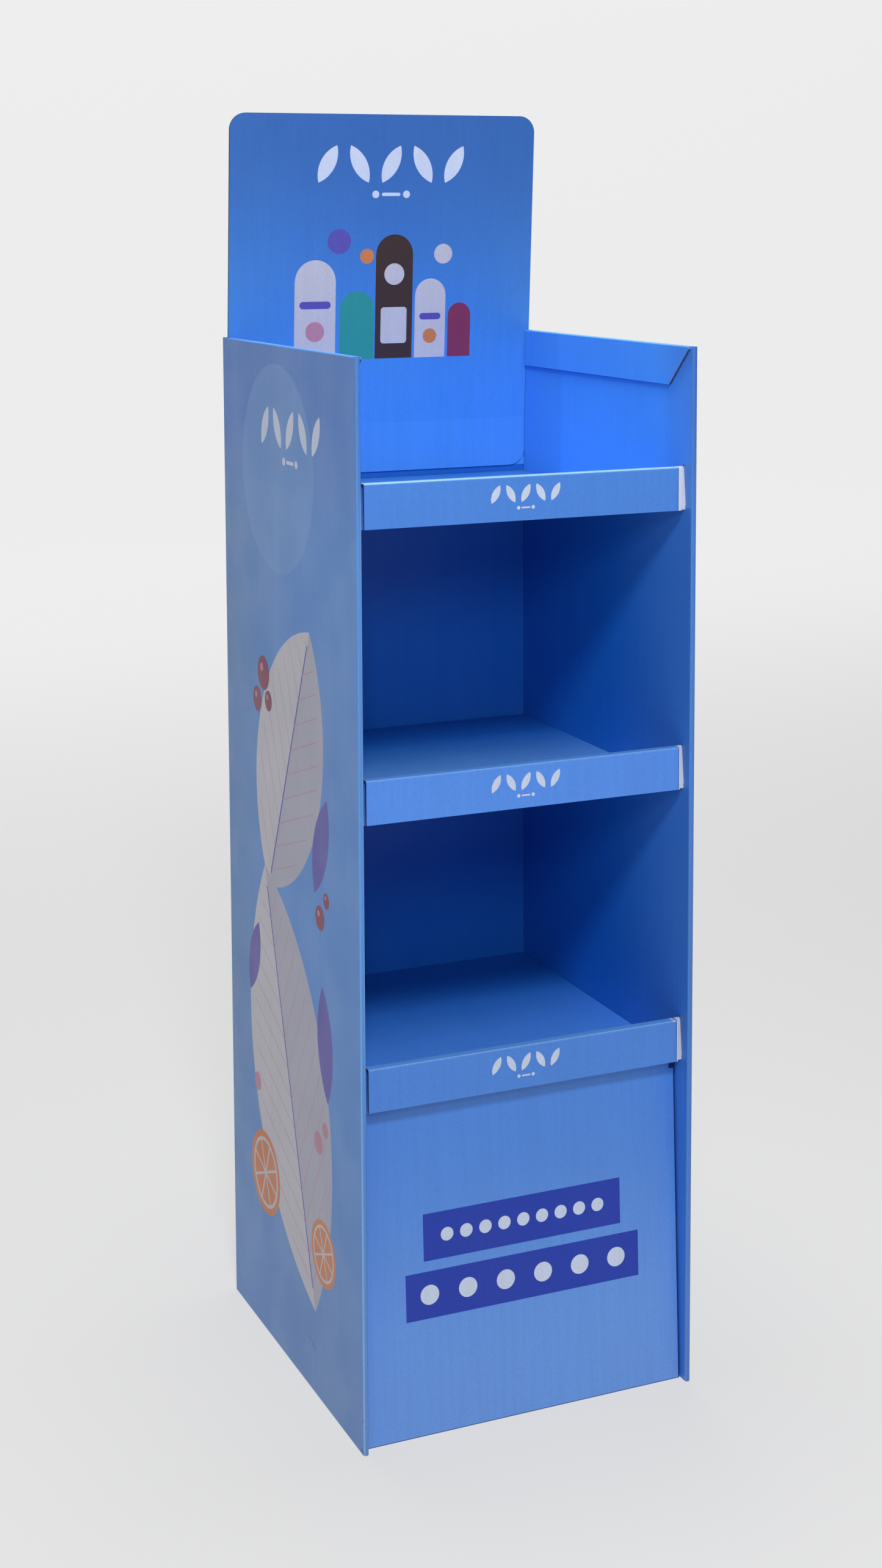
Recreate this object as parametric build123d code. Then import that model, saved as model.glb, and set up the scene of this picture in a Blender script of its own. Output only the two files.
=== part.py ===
from build123d import *
import os
from math import radians, tan

# Corrugated board and how closely the pieces are cut to each other
board = 2.8
layer_gap = 0.4
crease_radius = 1.2
case_fold_radius = 2.4
seat_gap = 0.3
side_gap = 0.4

# Outer case: a back and two doubled side walls, open at the front, the top and the floor
case_width = 400.0
case_depth = 430.0
case_height = 1180.0

# Flaps rolled over the tops of the side walls
flap_drop = 44.0
flap_front_setback = 5.0
flap_slant = 43.0
flap_back_setback = 11.6

# Header card, measured up from the floor of the top shelf
header_foot_gap = 8.0
header_height = 432.0
header_corner = 20.0
header_glue_height = 60.0
header_lean_angle = 3.7
header_shoulder = 3.2

# Shelves, spaced evenly from the floor of the lowest to the floor of the highest
shelf_count = 3
base_height = 378.0
top_bay_height = 177.0
lip_height = 45.0
lip_recess = 11.0
lip_lean = 5.0
lip_setback = 7.0
rear_flange = 35.0

# Tabs that hook the shelves into slots in the inner walls
tab_end_margin = 2.0
slot_clearance = 0.3
slot_headroom = 3.0
rear_tab_length = 40.0
rear_tab_inset = 60.0

# Front panel of the base
panel_recess = 12.0
panel_lean = 18.0
panel_side_gap = 1.5
panel_side_flange = 45.0
panel_top_flange = 60.0
panel_notch_width = 9.0
panel_notch_height = 8.0

# Planes and faces that several pieces share
wall = 2 * board + layer_gap
front = -case_depth / 2
back = case_depth / 2
outer_side = case_width / 2
inner_side = outer_side - wall
back_face = back - board
flap_thickness = wall + layer_gap + board
flap_face = outer_side - flap_thickness
flap_root = case_height - wall
flap_front = front + flap_front_setback
flap_back = back_face - flap_back_setback
tab_tip = inner_side + board
shelf_half_width = inner_side - side_gap
lip_half_width = inner_side - lip_setback

top_shelf = case_height - top_bay_height
bay_pitch = (top_shelf - base_height) / (shelf_count - 1)
floors = [base_height + bay_pitch * level for level in range(shelf_count)]

lip_face = front + lip_recess
upstand_foot = lip_face + wall
upstand_head = upstand_foot + lip_lean
upstand_rise = Vector(lip_lean, lip_height).normalized()
upstand_reverse = Vector(-upstand_rise.Y, upstand_rise.X)


def left_normal(start, end):
    """Unit vector to the left of a walk from start to end."""
    along = (Vector(*end) - Vector(*start)).normalized()
    return Vector(-along.Y, along.X)


def board_section(printed_line, fold_radius=crease_radius):
    """Section of a board that lies on the left of its printed line, with each fold's outside rounded."""
    printed = [Vector(*point) for point in printed_line]
    normals = [left_normal(*leg) for leg in zip(printed_line, printed_line[1:])]
    unprinted = [printed[0] + normals[0] * board]
    fold_outsides = []
    for corner, into, out in zip(printed[1:], normals, normals[1:]):
        mitre = corner + (into + out) * (board / (1 + into.dot(out)))
        unprinted.append(mitre)
        turns_left = into.X * out.Y - into.Y * out.X > 0
        fold_outsides.append(corner if turns_left else mitre)
    unprinted.append(printed[-1] + normals[-1] * board)
    section = make_face(Polyline(*printed, *unprinted[::-1], close=True))
    rounded = [section.vertices().sort_by_distance(outside)[0] for outside in fold_outsides]
    return fillet(rounded, fold_radius)


def across(section, half_width):
    """Draws a side-view section out to both sides of the middle."""
    return extrude(Plane.YZ * section, half_width, both=True)


def span(x_range, y_range, z_range):
    """A block between two opposite corners, for cuts and plain tabs."""
    low = Vector(x_range[0], y_range[0], z_range[0])
    high = Vector(x_range[1], y_range[1], z_range[1])
    size = high - low
    return Pos(*((low + high) / 2)) * Box(*size)


def both_sides(right_hand):
    """A feature and its mirror image on the other side wall."""
    return [right_hand, mirror(right_hand, Plane.YZ)]


def upstand_point(floor, height):
    """Point on the printed side of the lip's upstand, at a height over the shelf's floor."""
    return Vector(upstand_foot + lip_lean * height / lip_height, floor + height)


def front_tab_outline(floor, grown, headroom):
    """Side view of the lip's end tab, or of its slot when it is grown by a clearance."""
    low = upstand_point(floor, tab_end_margin) - upstand_rise * grown
    high = upstand_point(floor, lip_height - tab_end_margin) + upstand_rise * (grown + headroom)
    to_printed = upstand_reverse * -grown
    to_reverse = upstand_reverse * (board + grown)
    corners = [low + to_printed, high + to_printed, high + to_reverse, low + to_reverse]
    return make_face(Polyline(*corners, close=True))


def roll_over_outline(floor):
    """Side view of all that lies in front of the lip's upstand."""
    past = upstand_rise * lip_recess
    low = upstand_point(floor, 0) + upstand_reverse * board - past
    high = upstand_point(floor, lip_height) + upstand_reverse * board + past
    return make_face(Polyline(low, high, (front, high.Y), (front, low.Y), close=True))


def between(section, x_low, x_high):
    """Draws a side-view section out between two distances from the middle."""
    return extrude(Plane.YZ.offset(x_low) * section, x_high - x_low)


def rear_tab_block(floor, x_low, x_high, grown):
    """Block of the rear tab, or of its slot when it is grown by a clearance."""
    tab_back = back_face - rear_tab_inset
    y_range = (tab_back - rear_tab_length - grown, tab_back + grown)
    return span((x_low, x_high), y_range, (floor - board - grown, floor + grown))


def make_top_flap():
    """Flap of the right wall, folded over the wall's top and down its inner face."""
    foot = case_height - flap_drop
    fold = [(outer_side, case_height), (flap_face, case_height)]
    section = board_section([(outer_side, flap_root), *fold, (flap_face, foot)])
    flap = extrude(Plane.XZ.offset(-flap_back) * section, flap_back - flap_front)
    slant = make_face(
        Polyline(
            (flap_front - board, case_height - board),
            (flap_front, case_height - board),
            (flap_front + flap_slant, foot),
            (flap_front + flap_slant, foot - board),
            (flap_front - board, foot - board),
            close=True,
        )
    )
    return flap - between(slant, flap_face - board, flap_face + board + layer_gap / 2)


def make_outer_case():
    """One sheet: back, sides, front edges and the inner walls folded back behind them."""
    liner_end = back_face - seat_gap
    right_half = [(outer_side, back), (outer_side, front), (inner_side, front), (inner_side, liner_end)]
    left_half = [(-x, y) for x, y in right_half]
    case = extrude(board_section(right_half[::-1] + left_half, case_fold_radius), case_height)
    # The inner walls stop under the rolled-over flaps, and the flaps continue the outer ones.
    room_above_liner = span(
        (inner_side - board, outer_side - board),
        (flap_front - layer_gap, back_face),
        (case_height - board - layer_gap, case_height + board),
    )
    room_for_fold = span(
        (outer_side - board, outer_side + board),
        (flap_front, flap_back),
        (flap_root, case_height + board),
    )
    case -= both_sides(room_above_liner) + both_sides(room_for_fold)
    case += both_sides(make_top_flap())
    for floor in floors:
        front_outline = front_tab_outline(floor, slot_clearance, slot_headroom)
        front_slot = between(front_outline, inner_side - board, tab_tip)
        rear_slot = rear_tab_block(floor, inner_side - board, tab_tip, slot_clearance)
        case -= both_sides(front_slot) + both_sides(rear_slot)
    return case


def make_header_card():
    """Flat card, glued low down to the back, leaning forward above that and widest over the side walls."""
    glued_face = back_face - board
    foot = top_shelf + header_foot_gap
    bend = foot + header_glue_height
    top = foot + header_height
    lean = (top - bend) * tan(radians(header_lean_angle))
    foot_half_width = inner_side - side_gap
    head_half_width = foot_half_width + header_shoulder
    card = across(
        board_section([(glued_face - lean, top), (glued_face, bend), (glued_face, foot)]),
        head_half_width,
    )
    # The outline has its origin in the card's middle, and it widens at the tops of the side walls.
    shoulders = case_height - (foot + top) / 2
    over_walls = Pos(0, shoulders + header_height / 2) * Rectangle(case_width, header_height)
    head_outline = RectangleRounded(2 * head_half_width, header_height, header_corner)
    foot_outline = RectangleRounded(2 * foot_half_width, header_height, header_corner)
    silhouette = (head_outline & over_walls) + (foot_outline - over_walls)
    middle = Plane((0, back, (foot + top) / 2), x_dir=(1, 0, 0), z_dir=(0, -1, 0))
    return card & extrude(middle * silhouette, case_depth)


def make_shelf(floor):
    """One sheet: rear flange, floor and a front lip that rolls over and hangs down in front."""
    rim = floor + lip_height
    rear = back_face - seat_gap
    tray = [(rear, floor - rear_flange), (rear, floor), (upstand_foot, floor)]
    lip = [(upstand_head, rim), (lip_face, rim), (lip_face, floor - board)]
    shelf = across(board_section(tray + lip), shelf_half_width)
    # The rolled-over part stops short of the walls, and the ends of the upstand go on into them.
    bare_end = between(roll_over_outline(floor), lip_half_width, inner_side)
    front_tab = between(front_tab_outline(floor, 0, 0), shelf_half_width, tab_tip)
    rear_tab = rear_tab_block(floor, shelf_half_width, tab_tip, 0)
    shelf -= both_sides(bare_end)
    return shelf + both_sides(front_tab) + both_sides(rear_tab)


def make_base_front_panel():
    """Leaning front panel with flanges folded back at its sides and under the lowest shelf."""
    top = base_height - board - seat_gap
    foot_face = front + panel_recess
    head_face = foot_face + panel_lean
    half_width = inner_side - panel_side_gap
    printed_line = [(head_face + panel_top_flange, top), (head_face, top), (foot_face, 0)]
    panel = across(board_section(printed_line), half_width)
    below_floor = span((-half_width, half_width), (foot_face - board, head_face), (-board, 0))
    flange_outline = make_face(
        Polyline(
            (foot_face, 0),
            (head_face, top - panel_notch_height),
            (head_face + panel_side_flange, top - panel_notch_height),
            (foot_face + panel_side_flange, 0),
            close=True,
        )
    )
    flange = between(flange_outline, half_width - board, half_width)
    notch = span(
        (half_width - panel_notch_width, half_width + board),
        (foot_face, head_face + panel_top_flange + board),
        (top - panel_notch_height, top + board),
    )
    panel += both_sides(flange)
    return panel - both_sides(notch) - below_floor


def write_parts():
    shelf_names = ["shelf_bottom", "shelf_middle", "shelf_top"]
    parts = {
        "outer_case": make_outer_case(),
        "header_card": make_header_card(),
        "base_front_panel": make_base_front_panel(),
    }
    for name, floor in zip(shelf_names, floors):
        parts[name] = make_shelf(floor)
    os.makedirs("parts", exist_ok=True)
    for name, shape in parts.items():
        export_step(shape, f"parts/{name}.step")


write_parts()
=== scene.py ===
import math
from functools import cached_property

import bpy
from bpy.props import FloatProperty, FloatVectorProperty, PointerProperty
from mathutils import Matrix, Vector


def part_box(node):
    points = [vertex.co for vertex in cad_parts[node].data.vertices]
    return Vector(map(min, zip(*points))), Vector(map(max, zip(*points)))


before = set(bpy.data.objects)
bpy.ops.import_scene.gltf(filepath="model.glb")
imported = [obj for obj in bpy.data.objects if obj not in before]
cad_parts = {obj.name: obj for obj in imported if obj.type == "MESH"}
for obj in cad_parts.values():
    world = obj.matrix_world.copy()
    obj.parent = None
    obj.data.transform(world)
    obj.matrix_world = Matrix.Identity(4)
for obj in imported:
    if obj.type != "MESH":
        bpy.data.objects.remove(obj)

bl_info = {
    "name": "Cardboard floor display",
    "version": (1, 0, 0),
    "blender": (4, 5, 0),
    "location": "3D View > Sidebar > Floor display",
    "description": "Prints and finishes the folded sheets of a cardboard floor display",
    "category": "Object",
}

MM = 0.001
SHELF_NODES = ("shelf_top", "shelf_middle", "shelf_bottom")

CASE_LOW, CASE_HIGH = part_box("outer_case")
HEADER_LOW, HEADER_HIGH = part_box("header_card")
PANEL_LOW, PANEL_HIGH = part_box("base_front_panel")
SHELF_LOW, SHELF_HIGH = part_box("shelf_top")

# Doubled side walls, the flaps that are rolled over their tops, and a line in the top bay behind which
# its walls are a little darker
WALL = 6 * MM
FLAP_FRONT = CASE_LOW.y + 5 * MM
FLAP_BACK = CASE_HIGH.y - 14.4 * MM
FLAP_WIDTH = 9.2 * MM
TOP_BAY_TONE_LINE = 107 * MM

# A shelf's floor lies over the foot of its own box by the height of its rear flange
REAR_FLANGE = 35 * MM
TOP_TRAY = SHELF_LOW.z + REAR_FLANGE

# Half the width of the lips, how much of their right ends is bare, and a torn spot on the lowest
LIP_END = 187 * MM
BARE_ENDS = {"shelf_top": 4.2 * MM, "shelf_middle": 1.4 * MM, "shelf_bottom": 1.6 * MM}
TORN_SPOT = 182.4 * MM

# Painted shade as a dark notch at the right top corner of the base panel
NOTCH_SIDE = 185.5 * MM
NOTCH_DEPTH = 14 * MM

# Heights between which the blue gets paler toward the floor, as painted light from the floor
FLOOR_LIGHT_FADE = (0.40, 0.02)

# A face looks one way past the first part of its normal, and straight that way past the second
LOOKS = 0.5
LOOKS_STRAIGHT = 0.7


class Graph:
    """Short calls for the nodes of one material."""

    CRISP = 0.1 * MM

    def __init__(self, material):
        material.use_nodes = True
        self.tree = material.node_tree
        self.tree.nodes.clear()

    def node(self, kind, **settings):
        made = self.tree.nodes.new(kind)
        for name, value in settings.items():
            setattr(made, name, value)
        return made

    def feed(self, socket, value):
        if isinstance(value, bpy.types.NodeSocket):
            self.tree.links.new(value, socket)
        else:
            socket.default_value = value

    def math(self, operation, *values, clamp=False):
        made = self.node("ShaderNodeMath", operation=operation, use_clamp=clamp)
        for socket, value in zip(made.inputs, values):
            self.feed(socket, value)
        return made.outputs[0]

    def vector(self, operation, *values):
        made = self.node("ShaderNodeVectorMath", operation=operation)
        for socket, value in zip(made.inputs, values):
            self.feed(socket, value)
        return made.outputs["Value" if operation == "LENGTH" else "Vector"]

    def join(self, x, y, z=0.0):
        made = self.node("ShaderNodeCombineXYZ")
        for socket, value in zip(made.inputs, (x, y, z)):
            self.feed(socket, value)
        return made.outputs[0]

    def split(self, vector):
        made = self.node("ShaderNodeSeparateXYZ")
        self.feed(made.inputs[0], vector)
        return made.outputs

    def blend(self, share, under, over):
        """Colour over another one, in the given share."""
        made = self.node("ShaderNodeMix", data_type="RGBA")
        self.feed(made.inputs["Factor"], share)
        self.feed(made.inputs["A"], under)
        self.feed(made.inputs["B"], over)
        return made.outputs["Result"]

    def fade(self, value, start, end, low=0.0, high=1.0):
        """Runs smoothly from low to high as the value runs from start to end."""
        made = self.node("ShaderNodeMapRange", interpolation_type="SMOOTHSTEP")
        numbers = {"Value": value, "From Min": start, "From Max": end, "To Min": low, "To Max": high}
        for name, number in numbers.items():
            self.feed(made.inputs[name], number)
        return made.outputs["Result"]

    def noise(self, point, scale, detail=2.0, roughness=0.5):
        made = self.node("ShaderNodeTexNoise")
        self.feed(made.inputs["Vector"], point)
        self.feed(made.inputs["Scale"], scale)
        self.feed(made.inputs["Detail"], detail)
        self.feed(made.inputs["Roughness"], roughness)
        return made.outputs["Fac"]

    def noise_between(self, low, high, point, scale, detail=2.0, roughness=0.5):
        """Noise whose middle range is stretched to run from low to high."""
        return self.fade(self.noise(point, scale, detail, roughness), 0.3, 0.7, low, high)

    def over(self, value, limit, soft=CRISP):
        return self.fade(value, limit - soft, limit + soft)

    def under(self, value, limit, soft=CRISP):
        return self.fade(value, limit - soft, limit + soft, 1.0, 0.0)

    def near(self, value, target, reach, soft=CRISP):
        distance = self.math("ABSOLUTE", self.math("SUBTRACT", value, target))
        return self.under(distance, reach, soft)

    def both(self, first, *others):
        for other in others:
            first = self.math("MULTIPLY", first, other)
        return first

    def either(self, first, *others):
        for other in others:
            first = self.math("MAXIMUM", first, other)
        return first

    def opposite(self, share):
        return self.math("SUBTRACT", 1.0, share)

    def choose(self, share, first, second):
        """The first value where the share is one, and the second where it is nothing."""
        return self.math("ADD", self.both(share, first), self.both(self.opposite(share), second))


class Spot:
    """Where a shaded point lies on the board: its place and the way its face looks."""

    def __init__(self, graph):
        self.graph = graph
        self.point = graph.node("ShaderNodeTexCoord").outputs["Object"]
        self.x, self.y, self.z = graph.split(self.point)
        normal = graph.node("ShaderNodeNewGeometry").outputs["True Normal"]
        self.face_x, self.face_y, self.face_z = graph.split(normal)

    @cached_property
    def side(self):
        """Distance from the middle, on either side."""
        return self.graph.math("ABSOLUTE", self.x)


class Print:
    """Flat shapes of ink, and of painted light and shade, in millimetres, laid one over another on one
    side of the board.
    """

    EDGE = 0.25 * MM

    def __init__(self, graph, across, upward, field, faces):
        self.graph = graph
        self.place = graph.join(across, upward)
        self.colour = field
        self.faces = faces

    def local(self, centre, angle=0.0):
        made = self.graph.node("ShaderNodeMapping", vector_type="TEXTURE")
        made.inputs["Location"].default_value = (centre[0] * MM, centre[1] * MM, 0)
        made.inputs["Rotation"].default_value = (0, 0, math.radians(angle))
        self.graph.feed(made.inputs["Vector"], self.place)
        return made.outputs[0]

    def disc(self, centre, radius):
        reach = self.graph.vector("LENGTH", self.local(centre))
        return self.graph.under(reach, radius * MM, self.EDGE)

    def ring(self, centre, radius, line):
        reach = self.graph.vector("LENGTH", self.local(centre))
        return self.graph.near(reach, (radius - line / 2) * MM, line * MM / 2, self.EDGE)

    def bar(self, centre, width, height, corner=0.0, angle=0.0):
        """Share covered by a bar with round corners."""
        spot = self.graph.vector("ABSOLUTE", self.local(centre, angle))
        core = ((width / 2 - corner) * MM, (height / 2 - corner) * MM, 0)
        past = self.graph.vector("MAXIMUM", self.graph.vector("SUBTRACT", spot, core), (0, 0, 0))
        reach = max(corner * MM, self.EDGE)
        return self.graph.under(self.graph.vector("LENGTH", past), reach, self.EDGE)

    def leaf(self, centre, length, width, angle=0.0):
        """Share covered by a leaf with two pointed ends, where two large discs overlap."""
        bow = (length * length / width + width) / 4
        spot = self.local(centre, angle)
        shift = (bow - width / 2) * MM
        halves = []
        for way in (shift, -shift):
            moved = self.graph.vector("ADD", spot, (0, way, 0))
            halves.append(self.graph.under(self.graph.vector("LENGTH", moved), bow * MM, self.EDGE))
        return self.graph.both(*halves)

    def spokes(self, centre, radius, count, line):
        """Share covered by spokes that part a disc into equal slices."""
        spot = self.local(centre)
        x, y, _ = self.graph.split(spot)
        slice_angle = 2 * math.pi / count
        turn = self.graph.math("FLOORED_MODULO", self.graph.math("ARCTAN2", y, x), slice_angle)
        reach = self.graph.vector("LENGTH", spot)
        from_middle = self.graph.math("SUBTRACT", turn, slice_angle / 2)
        apart = self.graph.math("MULTIPLY", from_middle, reach)
        spoke = self.graph.near(apart, 0.0, line * MM / 2, self.EDGE)
        return self.graph.both(spoke, self.graph.under(reach, radius * MM, self.EDGE))

    def ink(self, share, colour, strength=1.0):
        cover = self.graph.both(share, self.faces, strength)
        self.colour = self.graph.blend(cover, self.colour, colour)


class DisplayBoard(bpy.types.PropertyGroup):
    """Corrugated board that every piece is folded from."""

    thickness: FloatProperty(
        name="Thickness",
        description="Thickness of one layer of board",
        default=2.8 * MM,
        unit="LENGTH",
        precision=4,
    )
    layer_gap: FloatProperty(
        name="Layer gap",
        description="Air between two folded layers",
        default=0.4 * MM,
        unit="LENGTH",
        precision=4,
    )
    flute_pitch: FloatProperty(
        name="Flute pitch",
        description="Distance from one flute to the next",
        default=6.4 * MM,
        unit="LENGTH",
        precision=4,
    )
    liner: FloatProperty(
        name="Liner",
        description="Thickness of the paper on each side",
        default=0.4 * MM,
        unit="LENGTH",
        precision=4,
    )
    rib_depth: FloatProperty(
        name="Rib depth",
        description="How far the flutes show through the paper as ribs",
        default=0.018 * MM,
        unit="LENGTH",
        precision=5,
    )
    # Ink cracked off along the folds, partly also a painted highlight along them
    fold_wear_and_highlight: FloatProperty(
        name="Fold wear",
        description="How much ink has cracked off along the folds",
        default=0.22,
        subtype="FACTOR",
        min=0,
        max=1,
    )


def ink_property(name, description, default):
    """Colour of one ink or paper, as the sidebar shows it."""
    return FloatVectorProperty(
        name=name, description=description, default=default, subtype="COLOR", size=3, min=0, max=1
    )


class DisplayPrint(bpy.types.PropertyGroup):
    """Inks and papers of the display, and blues with painted light and shade in them."""

    field: ink_property("Field", "Blue that covers the sheets", (0.066, 0.238, 0.745))
    # Painted light from the floor: paler blue low on the base panel
    foot: ink_property("Foot", "Paler blue close to the floor", (0.130, 0.318, 0.810))
    # Partly painted reflection: the walls' outside is greyer than the field, and greyest at the back
    side: ink_property("Side", "Hazier blue on the outside of the walls", (0.084, 0.268, 0.690))
    side_back_reflection: ink_property("Side at the back", "Greyer blue at the back", (0.108, 0.262, 0.575))
    side_top: ink_property("Side at the top", "Deeper blue at the walls' top", (0.064, 0.212, 0.630))
    # Painted light from the floor: paler blue low on the walls' outside
    side_foot: ink_property("Side at the foot", "Paler blue at the walls' foot", (0.112, 0.268, 0.630))
    # Painted shade: the bays' blue deepens from their open front to their back
    bay: ink_property("Bay", "Blue deep inside the bays", (0.008, 0.165, 0.660))
    bay_mouth: ink_property("Bay mouth", "Paler blue at the bays' open front", (0.050, 0.212, 0.715))
    # Painted light: the open top bay is a lighter blue than the field, less so at its front
    top_bay: ink_property("Top bay", "Blue inside the open top bay", (0.076, 0.345, 0.930))
    top_bay_mouth: ink_property("Top bay mouth", "Blue at the top bay's front", (0.072, 0.265, 0.760))
    # Painted shade: dark blue put in narrow gaps and inside the closed base
    gap: ink_property("Gap", "Dark blue inside narrow gaps and in the base", (0.002, 0.012, 0.140))
    # Painted light and shade: the header is lighter at its foot and deeper at its top
    header_foot: ink_property("Header foot", "Blue at the foot of the header", (0.056, 0.265, 0.760))
    # The header's top blue is also the ink of the painted shadow lines at the lip ends
    header_top: ink_property("Header top", "Blue at the top of the header", (0.030, 0.135, 0.450))
    # Painted shade at the back of the shelf floors and in the gap under the header
    tray_back_shade: ink_property("Tray at the back", "Blue of the floors at the back", (0.006, 0.130, 0.530))
    # Painted light on the shelf floors behind the lips, most behind the middle lip
    tray_mouth_light: ink_property("Tray", "Blue of the floors behind the lips", (0.092, 0.335, 1.000))
    tray_middle_light: ink_property("Middle tray", "Blue behind the middle lip", (0.175, 0.470, 1.000))
    # Painted shade at the back of the top shelf
    top_tray_back_shade: ink_property("Top tray", "Deeper blue at the top shelf's back", (0.030, 0.150, 0.480))
    lip_middle: ink_property("Middle lip", "Lighter blue of the middle lip", (0.084, 0.275, 0.850))
    # Painted highlight where the lips roll over and along the left front folds, and the colour of ink
    # cracked off the folds
    crest_highlight_and_wear: ink_property("Lip crest", "Light blue where the lips roll over", (0.300, 0.560, 0.980))
    # Painted highlight where the lower lips roll over
    low_crest: ink_property("Low crest", "Blue where the lower lips roll over", (0.150, 0.415, 0.980))
    lip_end: ink_property("Lip ends", "Bare paper at the ends of the lips", (0.660, 0.700, 0.820))
    pale: ink_property("Pale mark", "Pale ink of the small marks", (0.600, 0.680, 0.860))
    disc: ink_property("Disc", "Haze of the large disc", (0.150, 0.335, 0.700))
    banner: ink_property("Banner", "Navy of the two banners", (0.002, 0.034, 0.420))
    white: ink_property("White", "White shapes in the pictures", (0.560, 0.550, 0.620))
    shade: ink_property("Shade", "Shaded halves of the pale leaves", (0.420, 0.430, 0.540))
    violet: ink_property("Violet", "Violet shapes in the pictures", (0.095, 0.080, 0.420))
    plum: ink_property("Plum", "Plum shapes in the pictures", (0.230, 0.030, 0.090))
    rose: ink_property("Rose", "Rose shapes in the pictures", (0.520, 0.230, 0.330))
    orange: ink_property("Orange", "Orange shapes in the pictures", (0.640, 0.210, 0.075))
    teal: ink_property("Teal", "Teal shapes in the pictures", (0.020, 0.300, 0.290))
    umber: ink_property("Umber", "Dark brown shapes in the pictures", (0.045, 0.022, 0.020))
    paper: ink_property("Paper", "Unprinted paper on the board's reverse", (0.640, 0.660, 0.690))
    # Partly the flute paper's colour and partly painted shade: the cut edges are a dark navy
    core: ink_property("Core", "Paper of the flutes at a cut edge", (0.085, 0.130, 0.270))


class DisplayStage(bpy.types.PropertyGroup):
    """Floor, light and camera."""

    camera_place: FloatVectorProperty(
        name="Camera place",
        description="Where the camera stands",
        default=(-1.063, -2.416, 1.326),
        subtype="TRANSLATION",
        size=3,
    )
    camera_yaw: FloatProperty(
        name="Camera yaw",
        description="Turn of the view to the right of straight ahead",
        default=math.radians(23.52),
        subtype="ANGLE",
    )
    camera_pitch: FloatProperty(
        name="Camera pitch",
        description="Tilt of the view above the level",
        default=math.radians(-6.24),
        subtype="ANGLE",
    )
    camera_roll: FloatProperty(
        name="Camera roll",
        description="Turn of the view about its own axis",
        default=math.radians(-0.25),
        subtype="ANGLE",
    )
    camera_lens: FloatProperty(
        name="Lens",
        description="Focal length of the camera",
        default=53.36,
        unit="CAMERA",
    )
    camera_shift: FloatProperty(
        name="Vertical shift",
        description="Shift of the lens that frames the display",
        default=-0.2024,
    )
    surround: FloatProperty(
        name="Surround",
        description="Own brightness of the pale floor around the display",
        default=0.56,
        min=0,
    )
    ceiling_power: FloatProperty(
        name="Ceiling light",
        description="Light from over the display",
        default=30.0,
        unit="POWER",
        min=0,
    )
    front_power: FloatProperty(
        name="Front light",
        description="Light from high up in front",
        default=73.0,
        unit="POWER",
        min=0,
    )
    fill_power: FloatProperty(
        name="Fill light",
        description="Light from beside the camera",
        default=12.0,
        unit="POWER",
        min=0,
    )


def colour(value):
    return (*value, 1.0)


def give(node_name, material):
    """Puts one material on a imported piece."""
    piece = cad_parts[node_name]
    piece.data.materials.clear()
    piece.data.materials.append(material)


def start_board(name):
    """An empty material, with the place and direction of each point that it shades."""
    material = bpy.data.materials.new(name)
    graph = Graph(material)
    return material, graph, Spot(graph)


def flute_turn(graph, board, along):
    """Angle that runs once round for each flute."""
    return graph.math("MULTIPLY", along, 2 * math.pi / board.flute_pitch)


def flute_section(graph, board, along, through):
    """Share of paper on a cut edge: two liners with a wave between them."""
    flute_paper, flute_edge = 0.45 * MM, 0.2 * MM
    layer = board.thickness + board.layer_gap
    depth = graph.math("FLOORED_MODULO", through, layer)
    middle = board.thickness / 2
    swing = middle - board.liner
    turn = flute_turn(graph, board, along)
    crest = graph.math("MULTIPLY_ADD", graph.math("SINE", turn), swing, middle)
    wave = graph.near(graph.math("SUBTRACT", depth, crest), 0.0, flute_paper, flute_edge)
    first = graph.under(depth, board.liner)
    past_flutes = graph.over(depth, board.thickness - board.liner)
    last = graph.both(past_flutes, graph.under(depth, board.thickness))
    return graph.either(wave, first, last)


def ribs(graph, board, spot, along):
    """Height of the flutes that show through the paper, in shares of the rib depth."""
    drift = graph.math("MULTIPLY", graph.noise(spot.point, 9.0), 1.5)
    wave = graph.math("SINE", graph.math("ADD", flute_turn(graph, board, along), drift))
    patches = graph.fade(graph.noise(spot.point, 5.0), 0.25, 0.75, 0.35, 1.0)
    return graph.math("MULTIPLY", wave, patches)


def toned_ink(graph, spot, relief, print_colour):
    """Print that varies a little: cloudy, grainy, banded by the flutes as a faint painted shade of the
    ribs, and streaked upward.
    """
    band_share, upright_stretch = 0.005, (160.0, 160.0, 2.0)
    mottle = graph.noise_between(0.96, 1.03, spot.point, 3.2, 4.0)
    grain = graph.noise_between(0.91, 1.08, spot.point, 640.0, 5.0, 0.8)
    drawn_out = graph.vector("MULTIPLY", spot.point, upright_stretch)
    streaks = graph.noise_between(0.98, 1.02, drawn_out, 1.0)
    # Painted shade of the ribs, with upward streaks
    rib_shade_and_streaks = graph.both(graph.math("MULTIPLY_ADD", relief, band_share, 1.0), streaks)
    tone = graph.both(mottle, grain, rib_shade_and_streaks)
    return graph.vector("MULTIPLY", print_colour, graph.join(tone, tone, tone))


def cracked_and_highlit_folds(graph, board, spot, folds):
    """Share of the folds where the ink has cracked off, which also serves as a painted highlight along
    them.
    """
    deepest, shallowest = 1.0, 0.4
    crack = graph.fade(graph.noise(spot.point, 260.0, 4.0, 0.7), 0.42, 0.62)
    depth = graph.math("MULTIPLY_ADD", crack, deepest - shallowest, shallowest)
    return graph.both(folds, depth, board.fold_wear_and_highlight)


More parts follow.
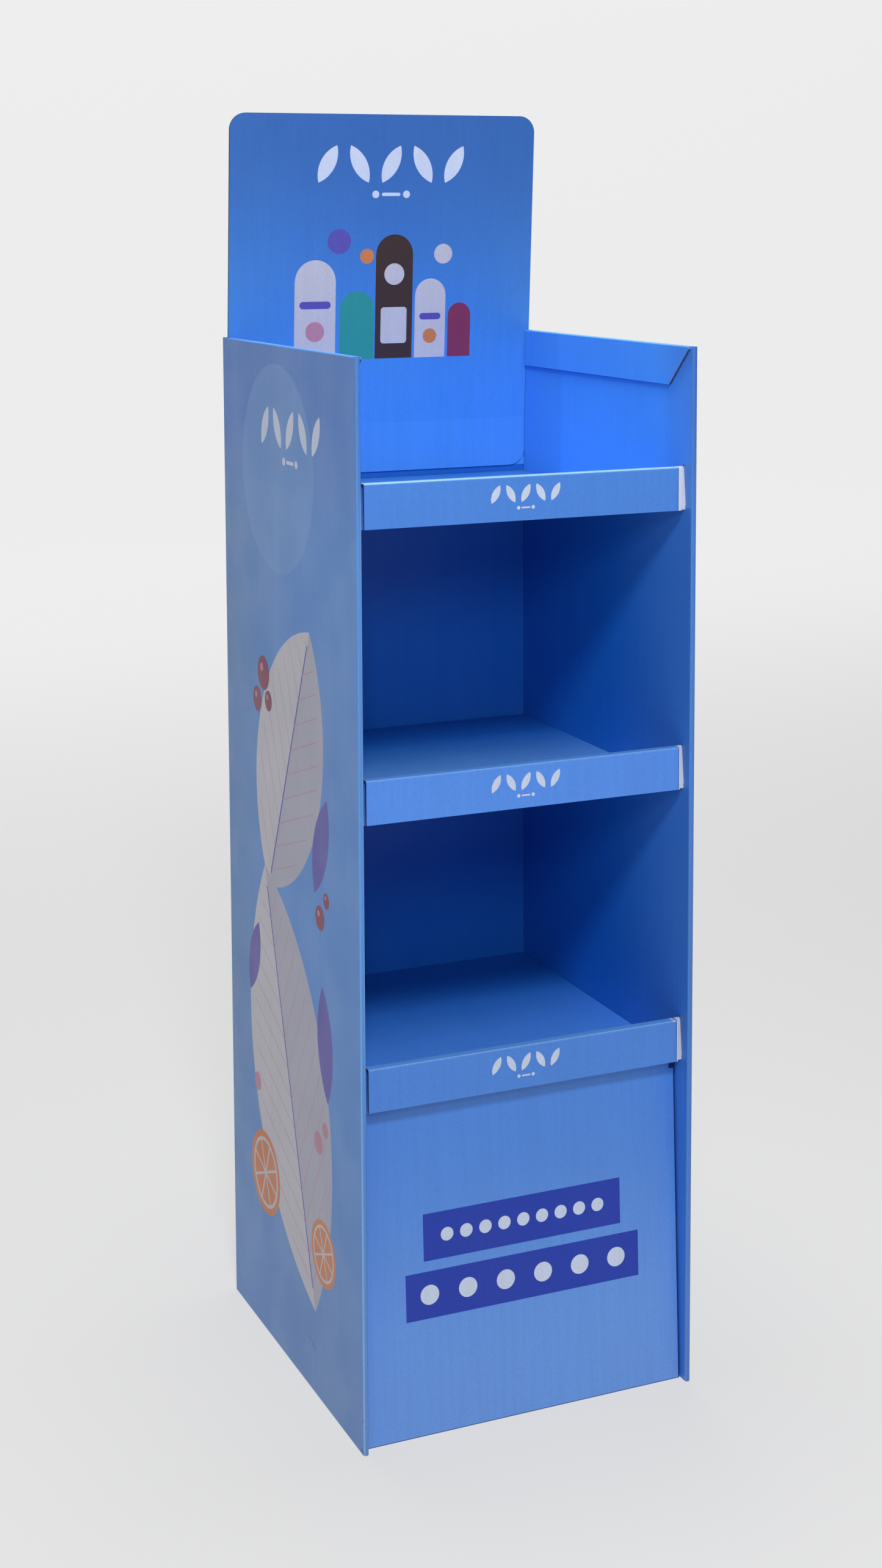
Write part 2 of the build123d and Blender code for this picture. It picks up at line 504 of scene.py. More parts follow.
def board_bump(graph, board, spot, relief, cut, section):
    """Normal of the board: faint ribs, paper fibre and the open flutes of the cut edges."""
    fibre_height, cut_height = 0.012 * MM, 0.6 * MM
    fibre = graph.noise(spot.point, 1500.0, 3.0, 0.7)
    height = graph.math("MULTIPLY", relief, board.rib_depth)
    height = graph.math("ADD", height, graph.math("MULTIPLY", fibre, fibre_height))
    open_flutes = graph.math("MULTIPLY", graph.both(cut, section), cut_height)
    bump = graph.node("ShaderNodeBump")
    bump.inputs["Strength"].default_value = 1.0
    bump.inputs["Distance"].default_value = 1.0
    graph.feed(bump.inputs["Height"], graph.math("ADD", height, open_flutes))
    return bump.outputs[0]


def finish_board(graph, board, spot, print_colour, printed, cut, section, folds, along):
    """Joins print, bare paper and cut edges to one board surface."""
    inks = bpy.context.scene.display_print
    hollow_shade, bare_roughness = 0.3, 0.4
    relief = ribs(graph, board, spot, along)
    ink = toned_ink(graph, spot, relief, print_colour)
    # Ink cracked off along the folds, which is also a painted highlight
    ink = graph.blend(cracked_and_highlit_folds(graph, board, spot, folds), ink, colour(inks.crest_highlight_and_wear))
    grey = graph.noise_between(0.92, 1.04, spot.point, 350.0, 3.0)
    paper = graph.vector("MULTIPLY", tuple(inks.paper), graph.join(grey, grey, grey))
    surface = graph.blend(printed, paper, ink)
    # Cut edges: the flute hollows in painted shade, and the flute paper in a dark blue that is partly
    # painted shade
    hollow = tuple(hollow_shade * value for value in inks.core)
    edge = graph.blend(section, colour(hollow), colour(inks.core))
    surface = graph.blend(cut, surface, edge)
    matt = graph.noise_between(0.40, 0.50, spot.point, 14.0, 3.0)
    bare = graph.math("MULTIPLY", graph.either(cut, graph.opposite(printed)), bare_roughness)
    shader = graph.node("ShaderNodeBsdfPrincipled")
    shader.inputs["IOR"].default_value = 1.5
    graph.feed(shader.inputs["Base Color"], surface)
    graph.feed(shader.inputs["Roughness"], graph.math("ADD", matt, bare, clamp=True))
    graph.feed(shader.inputs["Normal"], board_bump(graph, board, spot, relief, cut, section))
    output = graph.node("ShaderNodeOutputMaterial")
    graph.feed(output.inputs["Surface"], shader.outputs[0])


def print_garland(sheet, centre, scale, ink):
    """Small generic mark: a row of leaves, two dots and a bar."""
    x, z = centre
    leaf_pitch, leaf_length, leaf_width = 41 * scale, 50 * scale, 19 * scale
    dot_radius, dot_reach, line = 4.5 * scale, 20 * scale, 4 * scale
    below = z - 36 * scale
    for index, angle in enumerate((62, 118, 62, 118, 62)):
        place = (x + (index - 2) * leaf_pitch, z)
        sheet.ink(sheet.leaf(place, leaf_length, leaf_width, angle), ink)
    for side in (-1, 1):
        sheet.ink(sheet.disc((x + side * dot_reach, below), dot_radius), ink)
    sheet.ink(sheet.bar((x, below), 24 * scale, line, line / 2), ink)


def case_outside_blue(graph, spot, inks):
    """Blue of the outside: greyer toward the back as painted reflection, deeper at the top, and paler at
    the foot as painted light from the floor.
    """
    # Painted reflection: greyer toward the back
    to_back = graph.fade(spot.y, 20 * MM, CASE_HIGH.y)
    blue = graph.blend(to_back, colour(inks.side), colour(inks.side_back_reflection))
    to_top = graph.fade(spot.z, CASE_HIGH.z - 230 * MM, CASE_HIGH.z - 60 * MM)
    blue = graph.blend(to_top, blue, colour(inks.side_top))
    # Painted light from the floor: paler toward the foot
    to_foot = graph.fade(spot.z, *FLOOR_LIGHT_FADE)
    return graph.blend(to_foot, blue, colour(inks.side_foot))


def case_inside_blue(graph, spot, inks):
    """Blue of the inside, with painted light and shade: shade deepening into the bays, light in the open
    top bay, shade in the gap under the header and in the closed base.
    """
    tone_line_share = 0.12
    # Painted shade, deepening toward the back of the bays
    inward = graph.fade(spot.y, CASE_LOW.y, 0.0)
    bays = graph.blend(inward, colour(inks.bay_mouth), colour(inks.bay))
    # Painted light in the open top bay, weaker toward its front
    to_front = graph.fade(spot.y, CASE_LOW.y + 90 * MM, CASE_LOW.y + 10 * MM)
    top_bay = graph.blend(to_front, colour(inks.top_bay), colour(inks.top_bay_mouth))
    # The top bay is a little darker behind this line
    behind_tone_line = graph.both(graph.over(spot.y, TOP_BAY_TONE_LINE, 1 * MM), tone_line_share)
    top_bay = graph.blend(behind_tone_line, top_bay, colour(inks.header_top))
    above_tray = graph.over(spot.z, TOP_TRAY)
    blue = graph.blend(above_tray, bays, top_bay)
    # Painted shade in the gap under the header
    on_back = graph.over(spot.y, CASE_HIGH.y - 4 * MM)
    header_gap_shade = graph.both(on_back, graph.under(spot.z, HEADER_LOW.z), above_tray)
    blue = graph.blend(header_gap_shade, blue, colour(inks.tray_back_shade))
    # Painted shade inside the closed base behind the panel
    behind_panel = graph.over(spot.y, CASE_LOW.y + 33 * MM)
    base_shade = graph.both(graph.under(spot.z, PANEL_HIGH.z - 1 * MM), behind_panel)
    return graph.blend(base_shade, blue, colour(inks.gap))


def case_outside(graph, spot):
    """Share of the case that lies on its outside."""
    return graph.either(
        graph.over(spot.side, CASE_HIGH.x - 3 * MM),
        graph.under(spot.y, CASE_LOW.y + 3 * MM),
        graph.over(spot.y, CASE_HIGH.y - 1 * MM),
    )


def flap_tops(graph, spot):
    """Share of the flaps where they cross the tops of the side walls."""
    return graph.both(
        graph.over(spot.z, CASE_HIGH.z - 2 * MM),
        graph.over(spot.side, CASE_HIGH.x - 11 * MM),
        graph.over(spot.y, FLAP_FRONT),
        graph.under(spot.y, FLAP_BACK),
    )


def case_folds(graph, spot, flap_top):
    """Folds at the case's corners, along its front edges and along its flaps."""
    soft = 0.6 * MM
    corner = graph.near(spot.side, CASE_HIGH.x, 1.6 * MM, soft)
    inner_corner = graph.near(spot.side, CASE_HIGH.x - WALL, 1.2 * MM, soft)
    front_line = graph.near(spot.y, CASE_LOW.y, 1.6 * MM, soft)
    back_line = graph.near(spot.y, CASE_HIGH.y, 1.6 * MM, soft)
    top_line = graph.near(spot.z, CASE_HIGH.z, 1.4 * MM, soft)
    flap_line = graph.near(spot.side, CASE_HIGH.x - FLAP_WIDTH, 1.2 * MM)
    return graph.either(
        graph.both(corner, graph.either(front_line, back_line)),
        graph.both(inner_corner, front_line),
        graph.both(top_line, flap_top, graph.either(corner, flap_line)),
    )


def case_section(graph, board, spot):
    """Flutes at the ends of the case, which run along its side walls and its back."""
    side_wall = graph.over(spot.side, CASE_HIGH.x - WALL - 4 * MM)
    through_side = graph.math("SUBTRACT", CASE_HIGH.x, spot.side)
    through_back = graph.math("SUBTRACT", CASE_HIGH.y, spot.y)
    through = graph.choose(side_wall, through_side, through_back)
    return flute_section(graph, board, graph.choose(side_wall, spot.y, spot.x), through)


def paint_front_edge_light_and_shade(sheet, spot, inks):
    """Painted shade as a deeper band on the right front edge, and painted highlights as light lines
    along the two folds of the left one.
    """
    graph = sheet.graph
    line, soft = 0.7 * MM, 0.3 * MM
    # Painted shade: a deeper band on the right front edge
    on_edge = graph.under(spot.y, CASE_LOW.y + 1.0 * MM)
    edges = graph.both(on_edge, graph.over(spot.side, CASE_HIGH.x - WALL))
    sheet.faces = graph.both(edges, graph.over(spot.x, 0.0))
    sheet.ink(1.0, colour(inks.banner), 0.28)
    # Painted highlight along the inner fold of the left front edge, beside the bays
    on_front = graph.under(spot.y, CASE_LOW.y + 1.8 * MM)
    sheet.faces = graph.both(on_front, graph.near(spot.x, CASE_LOW.x + WALL - line, line, soft))
    below_top_lip = graph.under(spot.z, SHELF_HIGH.z - 10 * MM, 10 * MM)
    beside_bays = graph.both(below_top_lip, graph.over(spot.z, PANEL_HIGH.z, 20 * MM))
    sheet.ink(beside_bays, colour(inks.crest_highlight_and_wear), 0.8)
    # Painted highlight along the outer fold of the left front edge, brighter toward the floor
    sheet.faces = graph.both(on_front, graph.near(spot.x, CASE_LOW.x + line, line, soft))
    brighter_down = graph.fade(spot.z, 900 * MM, 50 * MM, 0.06, 0.6)
    sheet.ink(brighter_down, colour(inks.crest_highlight_and_wear))


class DISPLAY_OT_print_case(bpy.types.Operator):
    """Print and wear the outer case, with painted light and shade"""

    bl_idname = "display.print_case"
    bl_label = "Outer case"

    def execute(self, context):
        board = context.scene.display_board
        inks = context.scene.display_print
        material, graph, spot = start_board("printed_case_board")
        inside_blue = case_inside_blue(graph, spot, inks)
        outside_blue = case_outside_blue(graph, spot, inks)
        field = graph.blend(case_outside(graph, spot), inside_blue, outside_blue)
        looks_left = graph.under(spot.face_x, -LOOKS)
        left_face = graph.both(looks_left, graph.under(spot.x, CASE_LOW.x + 1 * MM))
        # Pictures on the side are laid out as one looks at it, with the front edge on the right
        sheet = Print(graph, graph.math("MULTIPLY", spot.y, -1.0), spot.z, field, left_face)
        haze_middle, haze_radius, mark_middle = (-28, 1041), 118, (16, 1088)
        sheet.ink(sheet.disc(haze_middle, haze_radius), colour(inks.disc), 0.55)
        print_garland(sheet, mark_middle, 1.0, colour(inks.pale))
        print_side_pictures(sheet, inks)
        print_scuffs(sheet, inks)
        paint_front_edge_light_and_shade(sheet, spot, inks)
        looks_up = graph.over(spot.face_z, LOOKS_STRAIGHT)
        looks_down = graph.under(spot.face_z, -LOOKS_STRAIGHT)
        flap_top = flap_tops(graph, spot)
        cut = graph.both(graph.either(looks_up, looks_down), graph.opposite(flap_top))
        folds = graph.both(case_folds(graph, spot, flap_top), 0.4)
        looks_aside = graph.fade(graph.math("ABSOLUTE", spot.face_x), 0.4, 0.6)
        along = graph.choose(looks_aside, spot.y, spot.x)
        section = case_section(graph, board, spot)
        finish_board(graph, board, spot, sheet.colour, 1.0, cut, section, folds, along)
        give("outer_case", material)
        return {"FINISHED"}


def print_veined_leaf(sheet, centre, length, width, angle, inks):
    """Large pale leaf with one half in the shade, a midrib and side veins."""
    graph = sheet.graph
    vein_pitch, vein_line = 34 * MM, 1.1 * MM
    body = sheet.leaf(centre, length, width, angle)
    sheet.ink(body, colour(inks.white))
    reach, height, _ = graph.split(sheet.local(centre, angle))
    sheet.ink(graph.both(body, graph.under(height, 0.0, 0.5 * MM)), colour(inks.shade))
    sheet.ink(sheet.bar(centre, length * 0.9, 3.0, 1.5, angle), colour(inks.violet))
    inner = sheet.leaf(centre, length * 0.94, width * 0.86, angle)
    slope = graph.math("MULTIPLY", graph.math("ABSOLUTE", height), 0.9)
    run = graph.math("FLOORED_MODULO", graph.math("SUBTRACT", reach, slope), vein_pitch)
    veins = graph.near(run, vein_pitch / 2, vein_line, 0.3 * MM)
    sheet.ink(graph.both(inner, veins), colour(inks.rose), 0.6)


def print_berry(sheet, place, radius, inks):
    """Dark disc with a small light spot."""
    sheet.ink(sheet.disc(place, radius), colour(inks.plum))
    gleam = (place[0] - radius * 0.3, place[1] + radius * 0.3)
    sheet.ink(sheet.disc(gleam, radius * 0.25), colour(inks.rose))


def print_cut_fruit(sheet, place, radius, inks):
    """Round slice with a pale rind line and eight segments."""
    sheet.ink(sheet.disc(place, radius), colour(inks.orange))
    sheet.ink(sheet.ring(place, radius * 0.84, radius * 0.08), colour(inks.white))
    sheet.ink(sheet.spokes(place, radius * 0.76, 8, radius * 0.06), colour(inks.white))


def print_side_pictures(sheet, inks):
    """Generic leaves, berries and fruit on the outside of the left wall."""
    violet = colour(inks.violet)
    berries = (((-82, 800), 20), ((-104, 766), 15), ((-66, 770), 12), ((96, 560), 14), ((116, 584), 9))
    print_veined_leaf(sheet, (0, 712), 350, 205, 66, inks)
    print_veined_leaf(sheet, (-8, 335), 500, 250, 108, inks)
    sheet.ink(sheet.leaf((100, 640), 120, 44, 70), violet)
    for place, radius in berries:
        print_berry(sheet, place, radius, inks)
    sheet.ink(sheet.leaf((108, 420), 130, 46, 96), violet)
    sheet.ink(sheet.leaf((-126, 452), 96, 36, 70), violet)
    for place, radius in (((-96, 196), 50), ((96, 176), 38)):
        print_cut_fruit(sheet, place, radius, inks)
    for place, radius in (((84, 300), 13), ((106, 322), 9), ((-120, 300), 11)):
        sheet.ink(sheet.disc(place, radius), colour(inks.rose))


def print_scuffs(sheet, inks):
    """Small rubs and a dent close to the floor and on the front fold of the left wall."""
    # Middle, length, width, angle and strength of each
    scuffs = (
        ((62, 54), 16, 2.4, -28, 0.7),
        ((50, 58), 12, 2.2, -20, 0.5),
        ((25, 11), 5, 1.6, 20, 0.6),
        ((178, 896), 14, 1.4, 78, 0.25),
        ((213, 39), 7, 2.0, 70, 0.7),
        ((211, 3), 12, 6.0, 0, 0.5),
    )
    for middle, length, width, angle, strength in scuffs:
        sheet.ink(sheet.leaf(middle, length, width, angle), colour(inks.banner), strength)


class DISPLAY_OT_print_header(bpy.types.Operator):
    """Print the header card, with painted light and shade"""

    bl_idname = "display.print_header"
    bl_label = "Header card"

    def execute(self, context):
        board = context.scene.display_board
        inks = context.scene.display_print
        material, graph, spot = start_board("printed_header_board")
        front = graph.under(spot.face_y, -LOOKS)
        back = graph.over(spot.face_y, LOOKS)
        # Painted light and shade: lighter at the header's foot, deeper at its top
        to_foot = graph.fade(spot.z, HEADER_HIGH.z, HEADER_LOW.z + 80 * MM)
        field = graph.blend(to_foot, colour(inks.header_top), colour(inks.header_foot))
        sheet = Print(graph, spot.x, spot.z, field, front)
        mark_middle = (8, 1384)
        print_garland(sheet, mark_middle, 1.0, colour(inks.pale))
        print_header_picture(sheet, inks)
        cut = graph.opposite(graph.either(front, back))
        through = graph.math("SUBTRACT", spot.y, HEADER_LOW.y)
        section = flute_section(graph, board, spot.x, through)
        printed = graph.opposite(back)
        finish_board(graph, board, spot, sheet.colour, printed, cut, section, 0.0, spot.x)
        give("header_card", material)
        return {"FINISHED"}


def print_header_picture(sheet, inks):
    """Generic group of arches, discs and bars that stand side by side."""
    white, violet, rose = colour(inks.white), colour(inks.violet), colour(inks.rose)
    teal, umber, plum = colour(inks.teal), colour(inks.umber), colour(inks.plum)
    orange = colour(inks.orange)
    base = 1150
    # Middle, width, height and ink of each
    arches = (
        (-88, 52, 120, white),
        (-34, 44, 82, teal),
        (14, 48, 150, umber),
        (62, 40, 96, white),
        (101, 30, 66, plum),
    )
    for x, width, height, ink in arches:
        straight = height - width / 2
        sheet.ink(sheet.bar((x, base + straight / 2), width, straight), ink)
        sheet.ink(sheet.disc((x, base + straight), width / 2), ink)
    sheet.ink(sheet.disc((14, 1252), 13), white)
    sheet.ink(sheet.bar((14, 1190), 34, 44, 4), white)
    sheet.ink(sheet.bar((-88, 1216), 40, 9, 4.5), violet)
    sheet.ink(sheet.disc((-88, 1184), 12), rose)
    sheet.ink(sheet.bar((62, 1200), 28, 8, 4), violet)
    sheet.ink(sheet.disc((62, 1176), 9), orange)
    sheet.ink(sheet.disc((-58, 1292), 15), violet)
    sheet.ink(sheet.disc((-22, 1274), 9), orange)
    sheet.ink(sheet.disc((78, 1276), 12), white)


def shelf_blues(name, inks):
    """A shelf's blues: painted light behind the lip, painted shade at the back of the floor, the lip,
    and a painted highlight on its crest.
    """
    if name == "shelf_top":
        return inks.header_foot, inks.top_tray_back_shade, inks.field, inks.crest_highlight_and_wear
    if name == "shelf_middle":
        return inks.tray_middle_light, inks.tray_back_shade, inks.lip_middle, inks.low_crest
    return inks.tray_mouth_light, inks.tray_back_shade, inks.field, inks.low_crest


def shelf_cut(graph, spot, board, low):
    """Cut edges of a shelf: its ends, the foot of its lip and the foot of its rear flange."""
    just_past = 0.1 * MM
    ends = graph.over(graph.math("ABSOLUTE", spot.face_x), LOOKS_STRAIGHT)
    in_lip = graph.under(spot.y, low.y + board.thickness + just_past)
    lip_foot = graph.both(graph.under(spot.face_z, -LOOKS_STRAIGHT), in_lip)
    flange_foot = graph.under(spot.z, low.z + just_past)
    return graph.either(ends, lip_foot, flange_foot)


class DISPLAY_OT_print_shelves(bpy.types.Operator):
    """Print the three lipped shelves, with painted light and shade"""

    bl_idname = "display.print_shelves"
    bl_label = "Shelves"

    def execute(self, context):
        for name in SHELF_NODES:
            give(name, self.make_material(context, name))
        return {"FINISHED"}

    def make_material(self, context, name):
        board = context.scene.display_board
        inks = context.scene.display_print
        low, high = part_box(name)
        lip_face, rim = low.y, high.z
        floor = low.z + REAR_FLANGE
        open_above = name == "shelf_top"
        mouth_blue, back_blue, lip_blue, crest_blue = shelf_blues(name, inks)
        material, graph, spot = start_board(f"printed_{name}_board")
        lip_front = graph.under(spot.y, lip_face + 1 * MM)
        upper_front = graph.both(
            graph.under(spot.y, lip_face + 2 * WALL), graph.over(spot.z, rim - 2 * MM)
        )
        # Painted light on the floor behind the lip, fading to painted shade toward its back
        start, end = (90 * MM, 140 * MM) if open_above else (-120 * MM, 150 * MM)
        tray = graph.blend(graph.fade(spot.y, start, end), colour(mouth_blue), colour(back_blue))
        field = graph.blend(graph.under(spot.y, lip_face + WALL), tray, colour(lip_blue))
        sheet = Print(graph, spot.x, spot.z, field, lip_front)
        lip_middle = (floor + rim) / 2 / MM
        mark_scale = 0.43
        crest_strength = 0.75 if open_above else 1.0
        print_garland(sheet, (-2, lip_middle + 4), mark_scale, colour(inks.pale))
        # Painted highlight on the top of the roll-over
        crest = graph.both(upper_front, graph.over(spot.face_z, 0.3))
        sheet.faces = 1.0
        sheet.ink(crest, colour(crest_blue), crest_strength)
        if name == "shelf_bottom":
            torn = graph.both(crest, graph.near(spot.x, TORN_SPOT, 1.8 * MM))
            sheet.ink(torn, colour(inks.lip_end))
        looks_front = graph.under(spot.face_y, -LOOKS)
        upstand = graph.both(looks_front, graph.opposite(lip_front))
        print_lip_ends(sheet, spot, inks, lip_blue, (lip_front, crest, upstand), BARE_ENDS[name])
        folds = graph.both(upper_front, graph.near(spot.y, lip_face, 1.4 * MM, 0.5 * MM))
        above_floor = graph.math("SUBTRACT", spot.z, floor)
        through = graph.math("SUBTRACT", board.thickness, above_floor)
        section = flute_section(graph, board, spot.x, through)
        cut = shelf_cut(graph, spot, board, low)
        printed = graph.opposite(graph.under(spot.face_z, -LOOKS))
        finish_board(graph, board, spot, sheet.colour, printed, cut, section, folds, spot.x)
        return material


def print_lip_ends(sheet, spot, inks, lip_blue, shares, bare):
    """Bare paper with ply lines at a lip's right end with a painted shadow line at its start, and a
    painted shadow line beside its left end.
    """
    graph = sheet.graph
    lip_front, crest, upstand = shares
    ply_pitch, shadow_line = 1.9 * MM, 1.8 * MM
    start = LIP_END - bare
    sheet.faces = graph.either(lip_front, crest)
    sheet.ink(graph.over(spot.x, start), colour(inks.lip_end))
    # Painted shadow line where the bare end meets the lip
    sheet.ink(graph.near(spot.x, start, 0.5 * MM), colour(inks.header_top))
    sheet.faces = graph.both(upstand, graph.over(spot.x, 0.0))
    sheet.ink(1.0, colour(inks.lip_end))
    run = graph.math("FLOORED_MODULO", spot.x, ply_pitch)
    sheet.ink(graph.near(run, ply_pitch / 2, 0.2 * MM), colour(inks.shade), 0.5)
    sheet.faces = graph.both(upstand, graph.under(spot.x, 0.0))
    sheet.ink(1.0, colour(lip_blue))
    # Painted shade: a dark line beside the lip's left end
    sheet.ink(graph.over(spot.x, -LIP_END - shadow_line), colour(inks.header_top))


class DISPLAY_OT_print_base_panel(bpy.types.Operator):
    """Print the front panel of the base, with painted light and shade"""

    bl_idname = "display.print_base_panel"
    bl_label = "Base front panel"

    def execute(self, context):
        board = context.scene.display_board
        inks = context.scene.display_print
        material, graph, spot = start_board("printed_base_board")
        front = graph.under(spot.face_y, -LOOKS)
        # Painted light from the floor: the blue gets paler toward the foot
        field = graph.blend(graph.fade(spot.z, *FLOOR_LIGHT_FADE), colour(inks.field), colour(inks.foot))
        sheet = Print(graph, spot.x, spot.z, field, front)
        print_banners(sheet, inks)
        paint_panel_shade(sheet, spot, inks)
        cut = graph.under(spot.face_z, -LOOKS_STRAIGHT)
        in_front = graph.under(spot.y, PANEL_LOW.y + 20 * MM)
        fold = graph.both(graph.over(spot.z, PANEL_HIGH.z - 1.5 * MM), in_front)
        through = graph.math("SUBTRACT", spot.y, PANEL_LOW.y)
        section = flute_section(graph, board, spot.x, through)
        printed = graph.opposite(graph.over(spot.face_y, LOOKS))
        finish_board(graph, board, spot, sheet.colour, printed, cut, section, fold, spot.x)
        give("base_front_panel", material)
        return {"FINISHED"}


def print_banners(sheet, inks):
    """Two dark banners, each with a row of pale dots."""
    height, end_margin = 52, 28
    # Height over the floor, width, and the number and radius of the dots of each
    banners = ((220, 240, 9, 7.5), (156, 284, 6, 11.0))
    for z, width, count, radius in banners:
        sheet.ink(sheet.bar((0, z), width, height), colour(inks.banner))
        step = (width - 2 * end_margin) / (count - 1)
        for index in range(count):
            x = (index - (count - 1) / 2) * step
            sheet.ink(sheet.disc((x, z), radius), colour(inks.pale))


def paint_panel_shade(sheet, spot, inks):
    """Painted shade in a dark line at the panel's right edge, a painted shadow along its foot, and
    painted shade as a dark notch at its right top corner.
    """
    graph = sheet.graph
    dark = colour(inks.gap)
    # Painted shade in the gap beside the right wall
    sheet.ink(graph.over(spot.x, PANEL_HIGH.x - 1.3 * MM), dark)
    # Painted shadow along the foot
    sheet.ink(graph.under(spot.z, 0.9 * MM), dark, 0.85)
    # Painted shade as a dark notch at the right top corner
    notch = graph.both(graph.over(spot.x, NOTCH_SIDE), graph.over(spot.z, PANEL_HIGH.z - NOTCH_DEPTH))
    sheet.ink(notch, dark)


class DISPLAY_OT_set_stage(bpy.types.Operator):
    """Set the floor, the light and the camera"""

    bl_idname = "display.set_stage"
    bl_label = "Stage"

    floor_grey = 0.24
    far_glow = 0.21
    room_light = 0.10
    room_look = 0.74

    def execute(self, context):
        stage = context.scene.display_stage
        self.make_floor(context, stage)
        # Name, place, target, width and power of each lamp
        lamps = (
            ("ceiling_light", (0.05, 0.15, 2.60), (0, 0.1, 0.5), 0.8, stage.ceiling_power),
            ("front_light", (-1.0, -2.82, 3.30), (0, 0, 0.9), 0.6, stage.front_power),
            ("fill_light", (-0.9, -2.32, 1.80), (0, 0, 0.8), 0.5, stage.fill_power),
        )
        for name, place, target, size, power in lamps:
            self.make_light(context, name, place, target, size, power)
        self.make_room(context)
        self.make_camera(context, stage)
        context.scene.view_settings.view_transform = "Standard"
        return {"FINISHED"}

    def make_floor(self, context, stage):
        """Floor that sweeps up into a backdrop behind the display."""
        reach, rise, bend, steps = 9.0, 7.0, 3.0, 24
        profile = [(-reach, 0.0), (reach - bend, 0.0)]
        for step in range(1, steps + 1):
            turn = math.pi / 2 * step / steps
            profile.append((reach - bend + bend * math.sin(turn), bend - bend * math.cos(turn)))
        profile.append((reach, rise))
        points = [(x, y, z) for y, z in profile for x in (-reach, reach)]
        faces = [(2 * i, 2 * i + 1, 2 * i + 3, 2 * i + 2) for i in range(len(profile) - 1)]
        mesh = bpy.data.meshes.new("floor_sweep")
        mesh.from_pydata(points, [], faces)
        mesh.polygons.foreach_set("use_smooth", [True] * len(faces))
        mesh.materials.append(self.floor_material(stage))
        floor = bpy.data.objects.new("floor_sweep", mesh)
        context.scene.collection.objects.link(floor)

    def floor_material(self, stage):
        material = bpy.data.materials.new("pale_floor")
        graph = Graph(material)
        shader = graph.node("ShaderNodeBsdfPrincipled")
        shader.inputs["Base Color"].default_value = (*[self.floor_grey] * 3, 1)
        shader.inputs["Roughness"].default_value = 0.9
        shader.inputs["Specular IOR Level"].default_value = 0.0
        # The far floor and the backdrop get less light from the lamps, so they shine more themselves
        _, y, _ = graph.split(graph.node("ShaderNodeTexCoord").outputs["Object"])
        glow = graph.fade(y, 0.3, 5.0, stage.surround, stage.surround + self.far_glow)
        shader.inputs["Emission Color"].default_value = (1, 1, 1, 1)
        graph.feed(shader.inputs["Emission Strength"], glow)
        output = graph.node("ShaderNodeOutputMaterial")
        graph.feed(output.inputs["Surface"], shader.outputs[0])
        return material

    def make_light(self, context, name, place, target, size, power):
        lamp = bpy.data.lights.new(name, "AREA")
        lamp.shape = "DISK"
        lamp.size = size
        lamp.energy = power
        light = bpy.data.objects.new(name, lamp)
        light.location = place
        light.rotation_euler = (Vector(target) - Vector(place)).to_track_quat("-Z", "Y").to_euler()
        context.scene.collection.objects.link(light)

    def make_room(self, context):
        """Room that looks pale past the edge of the floor, and lights the display only a little."""
        world = bpy.data.worlds.new("pale_room")
        world.use_nodes = True
        nodes, links = world.node_tree.nodes, world.node_tree.links
        tone = nodes.new("ShaderNodeMapRange")
        tone.inputs["To Min"].default_value = self.room_light
        tone.inputs["To Max"].default_value = self.room_look
        links.new(nodes.new("ShaderNodeLightPath").outputs["Is Camera Ray"], tone.inputs["Value"])
        background = nodes["Background"]
        background.inputs["Color"].default_value = (1, 1, 1, 1)
        links.new(tone.outputs["Result"], background.inputs["Strength"])
        context.scene.world = world

    def make_camera(self, context, stage):
        yaw, pitch, roll = stage.camera_yaw, stage.camera_pitch, stage.camera_roll
        forward = math.cos(pitch)
        ahead = Vector((math.sin(yaw) * forward, math.cos(yaw) * forward, math.sin(pitch)))
        level = Vector((math.cos(yaw), -math.sin(yaw), 0))
        overhead = level.cross(ahead)
        right = math.cos(roll) * level + math.sin(roll) * overhead
        up = -math.sin(roll) * level + math.cos(roll) * overhead
        lens = bpy.data.cameras.new("camera")
        lens.lens = stage.camera_lens
        lens.shift_y = stage.camera_shift
        camera = bpy.data.objects.new("camera", lens)
        turned = Matrix((right, up, -ahead)).transposed().to_4x4()
        camera.matrix_world = Matrix.Translation(stage.camera_place) @ turned
        context.scene.collection.objects.link(camera)
        context.scene.camera = camera


class DISPLAY_PT_sidebar(bpy.types.Panel):
    """Buttons for each group of pieces, with their sizes and colours"""

    bl_label = "Floor display"
    bl_idname = "DISPLAY_PT_sidebar"
    bl_space_type = "VIEW_3D"
    bl_region_type = "UI"
    bl_category = "Floor display"

    def draw(self, context):
        column = self.layout.column(align=True)
        for operator in OPERATORS:
            column.operator(operator.bl_idname)
        for group_name in GROUPS:
            group = getattr(context.scene, group_name)
            box = self.layout.box()
            for name in group.__annotations__:
                box.prop(group, name)


OPERATORS = (
    DISPLAY_OT_print_case,
    DISPLAY_OT_print_header,
    DISPLAY_OT_print_shelves,
    DISPLAY_OT_print_base_panel,
    DISPLAY_OT_set_stage,
)
GROUPS = {"display_board": DisplayBoard, "display_print": DisplayPrint, "display_stage": DisplayStage}


def register():
    for group in GROUPS.values():
        bpy.utils.register_class(group)
    for operator in OPERATORS:
        bpy.utils.register_class(operator)
    bpy.utils.register_class(DISPLAY_PT_sidebar)
    for name, group in GROUPS.items():
        setattr(bpy.types.Scene, name, PointerProperty(type=group))


def unregister():
    for name in GROUPS:
        delattr(bpy.types.Scene, name)
    bpy.utils.unregister_class(DISPLAY_PT_sidebar)
    for operator in reversed(OPERATORS):
        bpy.utils.unregister_class(operator)
    for group in GROUPS.values():
        bpy.utils.unregister_class(group)


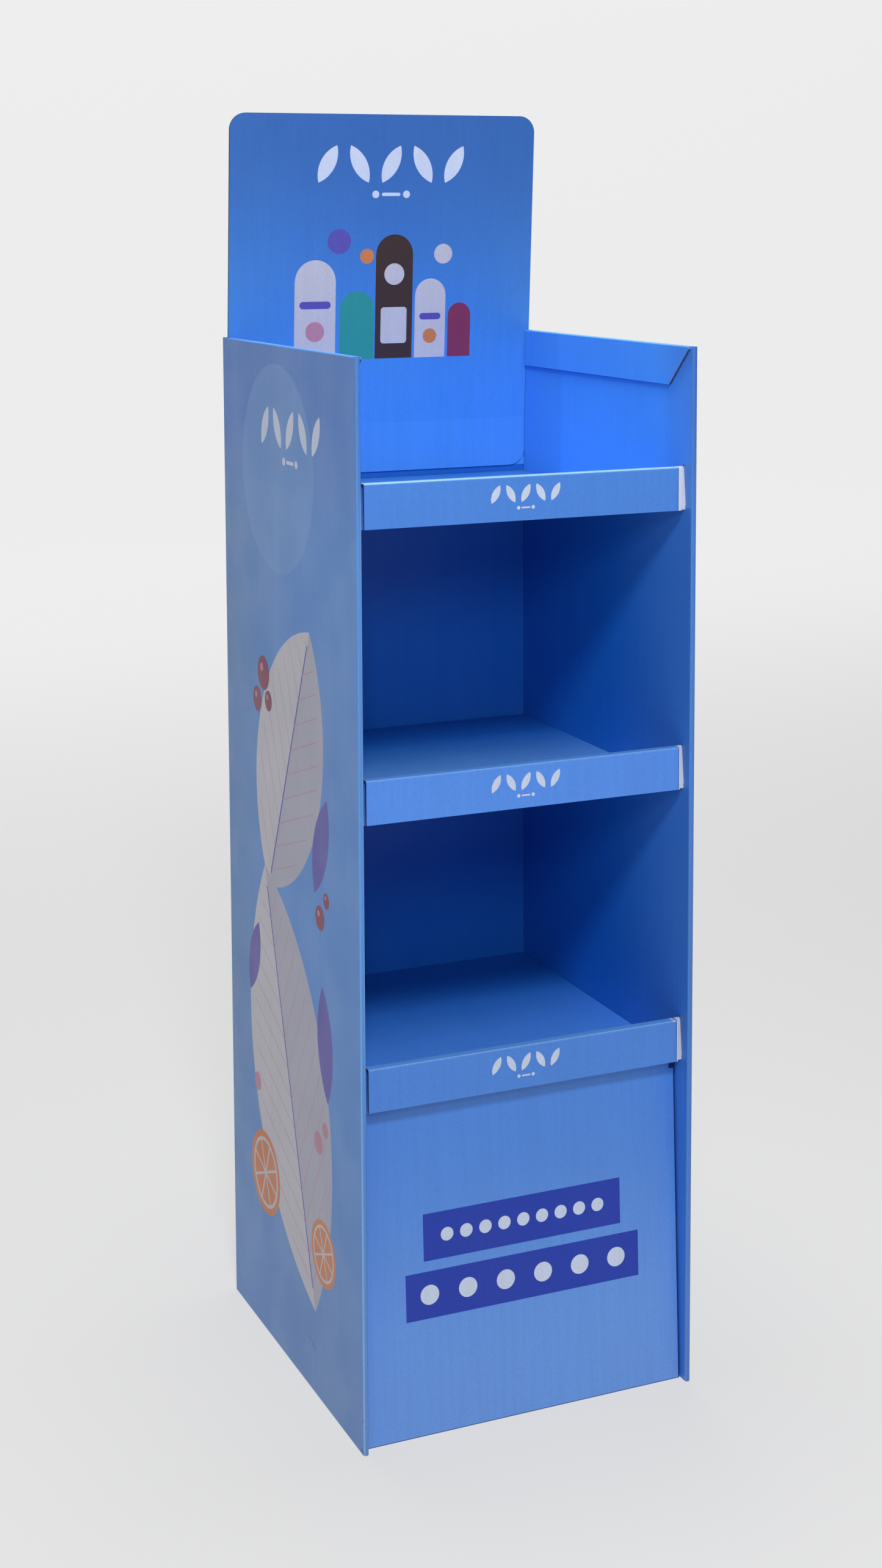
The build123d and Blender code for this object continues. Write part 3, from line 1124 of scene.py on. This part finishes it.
def main():
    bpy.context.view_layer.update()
    register()
    bpy.ops.display.print_case()
    bpy.ops.display.print_header()
    bpy.ops.display.print_shelves()
    bpy.ops.display.print_base_panel()
    bpy.ops.display.set_stage()


if __name__ == "__main__":
    main()
